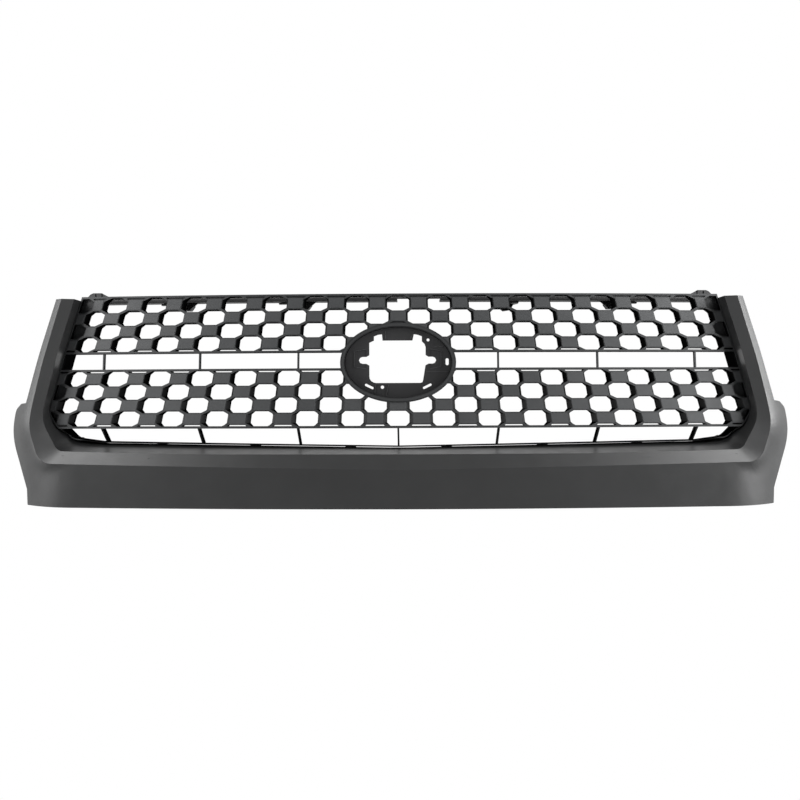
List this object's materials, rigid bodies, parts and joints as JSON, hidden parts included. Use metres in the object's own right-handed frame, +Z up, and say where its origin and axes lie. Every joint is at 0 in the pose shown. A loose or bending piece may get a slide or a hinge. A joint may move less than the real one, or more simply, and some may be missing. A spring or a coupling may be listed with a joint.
{
  "type": "vehicle front grille",
  "caption": "Wide vehicle front grille: U-shaped painted surround, checkerboard mesh insert with an oval emblem seat, upper mounting rail and clips.",
  "frame": {"origin": "midpoint between the two upper bolt holes, on the top face of the upper rail's shelf", "axes": "+Z up, -Y is the front of the grille, +X points to the right of someone facing the front"},
  "size_m": [1.2926, 0.1861, 0.3588],
  "materials": {
    "surround_plastic": "satin, moulded and painted grey",
    "mesh_plastic": "fine-grained matt black plastic",
    "emblem_plastic": "matt black plastic",
    "rail_plastic": "unpainted glass-filled plastic",
    "clip_plastic": "smooth black nylon",
    "stop_rubber": "matt",
    "nut_steel": "zinc plated",
    "screw_steel": "black zinc plated"
  },
  "bodies": {
    "root": {"surround": "surround_plastic", "mesh_insert": "mesh_plastic", "emblem_base": "emblem_plastic", "upper_rail": "rail_plastic", "ear_clip_left": "rail_plastic", "ear_clip_right": "rail_plastic", "retainer_outer_left": "clip_plastic", "retainer_inner_left": "clip_plastic", "retainer_inner_right": "clip_plastic", "retainer_outer_right": "clip_plastic", "lower_clip_1": "clip_plastic", "lower_clip_2": "clip_plastic", "lower_clip_3": "clip_plastic", "lower_clip_4": "clip_plastic", "side_nut_left": "nut_steel", "side_nut_right": "nut_steel", "bump_stop": "stop_rubber", "surround_screws": "screw_steel", "rail_screws": "screw_steel", "emblem_screws": "screw_steel"}
  },
  "joints": []
}
